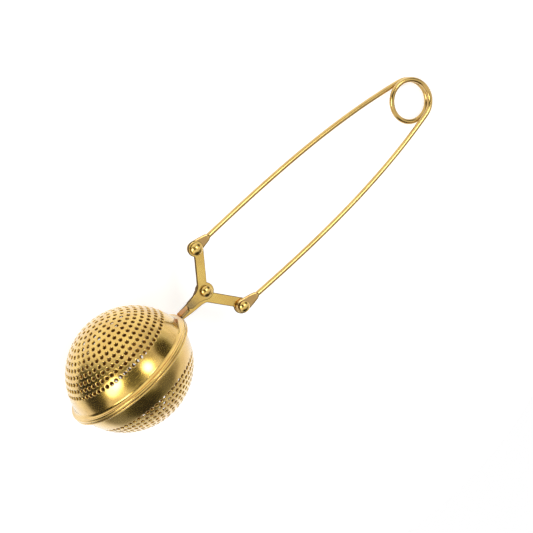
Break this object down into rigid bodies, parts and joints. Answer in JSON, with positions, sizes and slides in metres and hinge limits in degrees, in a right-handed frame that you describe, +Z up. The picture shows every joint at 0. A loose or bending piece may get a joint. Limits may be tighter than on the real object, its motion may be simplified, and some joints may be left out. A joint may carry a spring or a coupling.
{
  "type": "tea infuser",
  "caption": "Squeeze-handle tea infuser: perforated half balls on riveted bell-crank levers, held shut by a coiled spring wire whose legs are squeezed to open the ball.",
  "frame": {"origin": "centre of the bounding box in plan, on the surface the tool lies on", "axes": "+X along the tool from the ball towards the coil, +Y towards the upper half ball, +Z up. The tool lies with its lever plates facing up, resting on the ball's rim and on the far side of the coil, so the pivot axis leans 8.8 degrees from +Z towards +X"},
  "size_m": [0.1662, 0.0402, 0.0478],
  "materials": {
    "ball_gold": "gold-coloured plating on stainless steel sheet, semi-gloss, perforated",
    "plate_gold": "gold-coloured plating on stamped stainless steel plate, satin",
    "wire_gold": "gold-coloured plating on spring steel wire, glossy with fine drawing lines",
    "rivet_gold": "gold-coloured plating on domed rivet heads, polished"
  },
  "bodies": {
    "pivot": {"pivot_rivet": "rivet_gold"},
    "upper_half": {"upper_basket": "ball_gold", "upper_lever": "plate_gold", "upper_rivet": "rivet_gold"},
    "lower_half": {"lower_basket": "ball_gold", "lower_lever": "plate_gold", "lower_rivet": "rivet_gold"},
    "upper_leg": {"handle_upper_leg": "wire_gold"},
    "lower_leg": {"handle_lower_leg": "wire_gold"}
  },
  "joints": [
    {"name": "upper_half_swing", "type": "hinge", "parent": "pivot", "child": "upper_half", "pos_m": [-0.02365, 0, 0.01845], "axis": [-0.1529, 0, -0.9882], "range_deg": [0, 30], "stiffness_Nm_per_rad": 0.05, "springref_deg": -34.38},
    {"name": "lower_half_swing", "type": "hinge", "parent": "pivot", "child": "lower_half", "pos_m": [-0.02365, 0, 0.01845], "axis": [0.1529, 0, 0.9882], "range_deg": [0, 30]},
    {"name": "upper_leg_turn", "type": "hinge", "parent": "upper_half", "child": "upper_leg", "pos_m": [-0.01673, 0.0128, 0.01738], "axis": [0.1529, 0, 0.9882], "range_deg": [0, 32.7]},
    {"name": "coil_wind", "type": "hinge", "parent": "upper_leg", "child": "lower_leg", "pos_m": [0.07478, -0.0063, 0.00321], "axis": [-0.1529, 0, -0.9882], "range_deg": [0, 6]}
  ],
  "couplings": [
    {"joint": "lower_half_swing", "follows": "upper_half_swing", "ratio": 1},
    {"joint": "upper_leg_turn", "follows": "upper_half_swing", "ratio": 1.0871},
    {"joint": "coil_wind", "follows": "upper_half_swing", "ratio": 0.1968}
  ]
}
